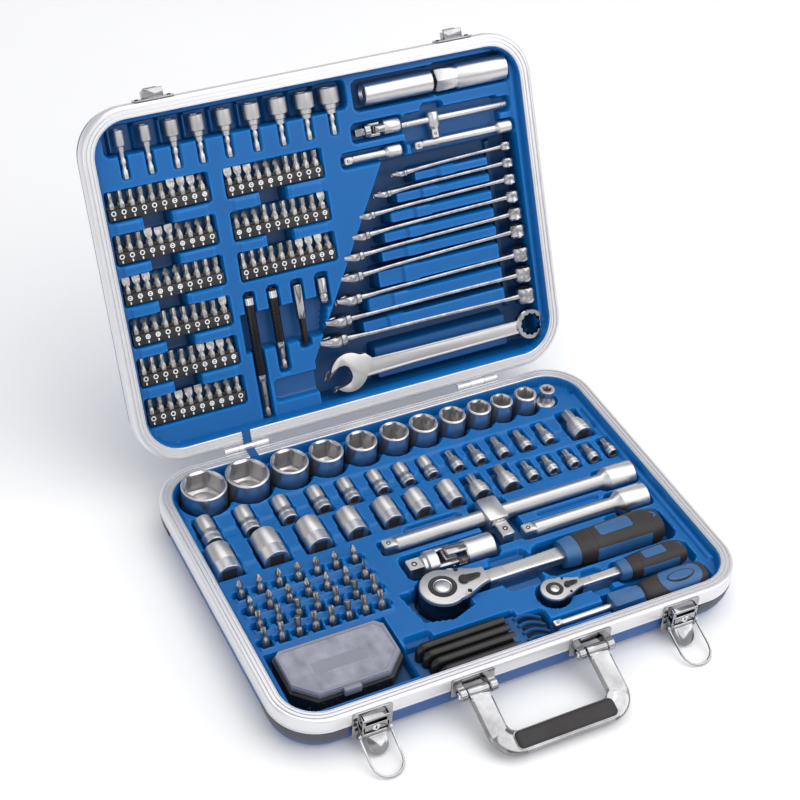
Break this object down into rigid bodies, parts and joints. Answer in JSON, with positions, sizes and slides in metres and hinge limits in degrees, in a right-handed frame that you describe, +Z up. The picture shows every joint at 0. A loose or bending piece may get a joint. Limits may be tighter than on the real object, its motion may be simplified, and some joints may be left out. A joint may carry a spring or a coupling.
{
  "type": "socket wrench set in case",
  "caption": "Open hinged tool case with silver rims, moulded blue trays, sockets, ratchets, extension bars, wrenches, bit box, draw latches and carrying handle.",
  "frame": {"origin": "centre of the case base's underside, on the surface it rests on", "axes": "+Z up out of the base tray; +X along the hinge to the right seen from the handle; -Y towards the handle and latches"},
  "size_m": [0.431, 0.5528, 0.3333],
  "materials": {
    "shell_blue": "satin",
    "rim_silver": "satin",
    "tray_blue": "matte",
    "chrome": "polished",
    "satin_steel": "satin",
    "guard_grey": "matte",
    "black_plastic": "matte",
    "grip_blue": "matte",
    "clear_lid": "gloss"
  },
  "bodies": {
    "base": {"base_shell": "shell_blue", "base_frame": "rim_silver", "base_tray": "tray_blue", "hinge_left_base_leaf": "chrome", "hinge_right_base_leaf": "chrome", "latch_left_housing": "chrome", "latch_right_housing": "chrome", "handle_bracket_left": "chrome", "handle_bracket_right": "chrome", "guard_left_front": "guard_grey", "guard_right_front": "guard_grey", "guard_left_back": "guard_grey", "guard_right_back": "guard_grey"},
    "lid": {"lid_shell": "shell_blue", "lid_frame": "rim_silver", "lid_tray": "tray_blue", "hinge_left_lid_leaf": "chrome", "hinge_right_lid_leaf": "chrome", "catch_left": "chrome", "catch_right": "chrome"},
    "latch_lever_left": {"latch_left_lever": "chrome"},
    "latch_lever_right": {"latch_right_lever": "chrome"},
    "latch_bail_left": {"latch_left_bail": "chrome"},
    "latch_bail_right": {"latch_right_bail": "chrome"},
    "handle": {"handle_bow": "chrome", "handle_pad": "black_plastic"},
    "ratchet_large": {"ratchet_large_body": "satin_steel", "ratchet_large_grip": "grip_blue"},
    "ratchet_large_spindle": {"ratchet_large_drive": "black_plastic"},
    "ratchet_large_release": {"ratchet_large_button": "chrome"},
    "ratchet_large_switch": {"ratchet_large_reverser": "black_plastic"},
    "ratchet_small": {"ratchet_small_body": "satin_steel", "ratchet_small_grip": "grip_blue"},
    "ratchet_small_spindle": {"ratchet_small_drive": "black_plastic"},
    "ratchet_small_release": {"ratchet_small_button": "chrome"},
    "ratchet_small_switch": {"ratchet_small_reverser": "black_plastic"},
    "universal_drive": {"joint_drive_end": "chrome"},
    "universal_cross": {"joint_cross": "chrome"},
    "universal_socket": {"joint_socket_end": "chrome"},
    "long_extension": {"extension_long": "chrome"},
    "sliding_t_head": {"t_head": "chrome"},
    "short_extension": {"extension_short": "chrome"},
    "spinner": {"spinner_grip": "grip_blue", "spinner_shaft": "satin_steel"},
    "bit_box": {"bit_box_base": "black_plastic"},
    "bit_box_cover": {"bit_box_lid": "clear_lid"},
    "large_wrench": {"wrench_large": "satin_steel"},
    "t_bar": {"t_bar_rod": "chrome"},
    "t_bar_slider": {"t_bar_head": "chrome"},
    "loose_socket_01": {"socket_01": "satin_steel"},
    "loose_socket_02": {"socket_02": "satin_steel"},
    "loose_socket_03": {"socket_03": "satin_steel"},
    "loose_socket_04": {"socket_04": "satin_steel"},
    "loose_socket_05": {"socket_05": "satin_steel"},
    "loose_socket_06": {"socket_06": "satin_steel"},
    "loose_socket_07": {"socket_07": "satin_steel"},
    "loose_socket_08": {"socket_08": "satin_steel"},
    "loose_socket_09": {"socket_09": "satin_steel"},
    "loose_socket_10": {"socket_10": "satin_steel"},
    "loose_socket_11": {"socket_11": "satin_steel"}
  },
  "joints": [
    {"name": "lid_hinge", "type": "hinge", "parent": "base", "child": "lid", "pos_m": [0, 0.1614, 0.0384], "axis": [-1, 0, 0], "range_deg": [-115, 0]},
    {"name": "latch_left_lever_pivot", "type": "hinge", "parent": "base", "child": "latch_lever_left", "pos_m": [-0.143, -0.1645, 0.015], "axis": [-1, 0, 0], "range_deg": [-44, 80]},
    {"name": "latch_left_bail_pivot", "type": "hinge", "parent": "base", "child": "latch_bail_left", "pos_m": [-0.143, -0.1645, 0.015], "axis": [1, 0, 0], "range_deg": [-110.6, 0]},
    {"name": "latch_right_lever_pivot", "type": "hinge", "parent": "base", "child": "latch_lever_right", "pos_m": [0.143, -0.1645, 0.015], "axis": [-1, 0, 0], "range_deg": [-44, 80]},
    {"name": "latch_right_bail_pivot", "type": "hinge", "parent": "base", "child": "latch_bail_right", "pos_m": [0.143, -0.1645, 0.015], "axis": [1, 0, 0], "range_deg": [-110.6, 0]},
    {"name": "handle_pivot", "type": "hinge", "parent": "base", "child": "handle", "pos_m": [0, -0.168, 0.027], "axis": [-1, 0, 0], "range_deg": [0, 100]},
    {"name": "ratchet_large_lift", "type": "slide", "parent": "base", "child": "ratchet_large", "axis": [0, 0, 1], "range_m": [0, 0.12]},
    {"name": "ratchet_small_lift", "type": "slide", "parent": "base", "child": "ratchet_small", "axis": [0, 0, 1], "range_m": [0, 0.12]},
    {"name": "universal_drive_lift", "type": "slide", "parent": "base", "child": "universal_drive", "axis": [0, 0, 1], "range_m": [0, 0.12]},
    {"name": "long_extension_lift", "type": "slide", "parent": "base", "child": "long_extension", "axis": [0, 0, 1], "range_m": [0, 0.12]},
    {"name": "short_extension_lift", "type": "slide", "parent": "base", "child": "short_extension", "axis": [0, 0, 1], "range_m": [0, 0.12]},
    {"name": "spinner_lift", "type": "slide", "parent": "base", "child": "spinner", "axis": [0, 0, 1], "range_m": [0, 0.12]},
    {"name": "bit_box_lift", "type": "slide", "parent": "base", "child": "bit_box", "axis": [0, 0, 1], "range_m": [0, 0.12]},
    {"name": "socket_01_lift", "type": "slide", "parent": "base", "child": "loose_socket_01", "axis": [0, 0, 1], "range_m": [0, 0.12]},
    {"name": "socket_02_lift", "type": "slide", "parent": "base", "child": "loose_socket_02", "axis": [0, 0, 1], "range_m": [0, 0.12]},
    {"name": "socket_03_lift", "type": "slide", "parent": "base", "child": "loose_socket_03", "axis": [0, 0, 1], "range_m": [0, 0.12]},
    {"name": "socket_04_lift", "type": "slide", "parent": "base", "child": "loose_socket_04", "axis": [0, 0, 1], "range_m": [0, 0.12]},
    {"name": "socket_05_lift", "type": "slide", "parent": "base", "child": "loose_socket_05", "axis": [0, 0, 1], "range_m": [0, 0.12]},
    {"name": "socket_06_lift", "type": "slide", "parent": "base", "child": "loose_socket_06", "axis": [0, 0, 1], "range_m": [0, 0.12]},
    {"name": "socket_07_lift", "type": "slide", "parent": "base", "child": "loose_socket_07", "axis": [0, 0, 1], "range_m": [0, 0.12]},
    {"name": "socket_08_lift", "type": "slide", "parent": "base", "child": "loose_socket_08", "axis": [0, 0, 1], "range_m": [0, 0.12]},
    {"name": "socket_09_lift", "type": "slide", "parent": "base", "child": "loose_socket_09", "axis": [0, 0, 1], "range_m": [0, 0.12]},
    {"name": "socket_10_lift", "type": "slide", "parent": "base", "child": "loose_socket_10", "axis": [0, 0, 1], "range_m": [0, 0.12]},
    {"name": "socket_11_lift", "type": "slide", "parent": "base", "child": "loose_socket_11", "axis": [0, 0, 1], "range_m": [0, 0.12]},
    {"name": "ratchet_large_drive_spin", "type": "hinge", "parent": "ratchet_large", "child": "ratchet_large_spindle", "pos_m": [-0.033, -0.063, 0.036], "axis": [0, 0, 1], "continuous": true},
    {"name": "ratchet_large_button_press", "type": "slide", "parent": "ratchet_large_spindle", "child": "ratchet_large_release", "axis": [0, 0, -1], "range_m": [0, 0.0015], "stiffness_N_per_m": 300},
    {"name": "ratchet_large_reverser_turn", "type": "hinge", "parent": "ratchet_large", "child": "ratchet_large_switch", "pos_m": [-0.0106, -0.063, 0.036], "axis": [0, 0, 1], "range_deg": [-20, 20]},
    {"name": "ratchet_small_drive_spin", "type": "hinge", "parent": "ratchet_small", "child": "ratchet_small_spindle", "pos_m": [0.053, -0.102, 0.035], "axis": [0, 0, 1], "continuous": true},
    {"name": "ratchet_small_button_press", "type": "slide", "parent": "ratchet_small_spindle", "child": "ratchet_small_release", "axis": [0, 0, -1], "range_m": [0, 0.0015], "stiffness_N_per_m": 300},
    {"name": "ratchet_small_reverser_turn", "type": "hinge", "parent": "ratchet_small", "child": "ratchet_small_switch", "pos_m": [0.06666, -0.102, 0.035], "axis": [0, 0, 1], "range_deg": [-20, 20]},
    {"name": "universal_fork_pitch", "type": "hinge", "parent": "universal_drive", "child": "universal_cross", "pos_m": [-0.008, -0.026, 0.0252], "axis": [0, -1, 0], "range_deg": [0, 35]},
    {"name": "universal_fork_yaw", "type": "hinge", "parent": "universal_cross", "child": "universal_socket", "pos_m": [-0.008, -0.026, 0.0252], "axis": [0, 0, 1], "range_deg": [-5, 5]},
    {"name": "t_head_slide", "type": "slide", "parent": "long_extension", "child": "sliding_t_head", "axis": [1, 0, 0], "range_m": [-0.004, 0.008]},
    {"name": "bit_box_lid_hinge", "type": "hinge", "parent": "bit_box", "child": "bit_box_cover", "pos_m": [-0.1435, -0.072, 0.02915], "axis": [-1, 0, 0], "range_deg": [0, 95]},
    {"name": "wrench_large_lift", "type": "slide", "parent": "lid", "child": "large_wrench", "axis": [0, -0.9063, 0.4226], "range_m": [0, 0.05]},
    {"name": "t_bar_lift", "type": "slide", "parent": "lid", "child": "t_bar", "axis": [0, -0.9063, 0.4226], "range_m": [0, 0.05]},
    {"name": "t_bar_head_slide", "type": "slide", "parent": "t_bar", "child": "t_bar_slider", "axis": [1, 0, 0], "range_m": [-0.022, 0.06]}
  ]
}
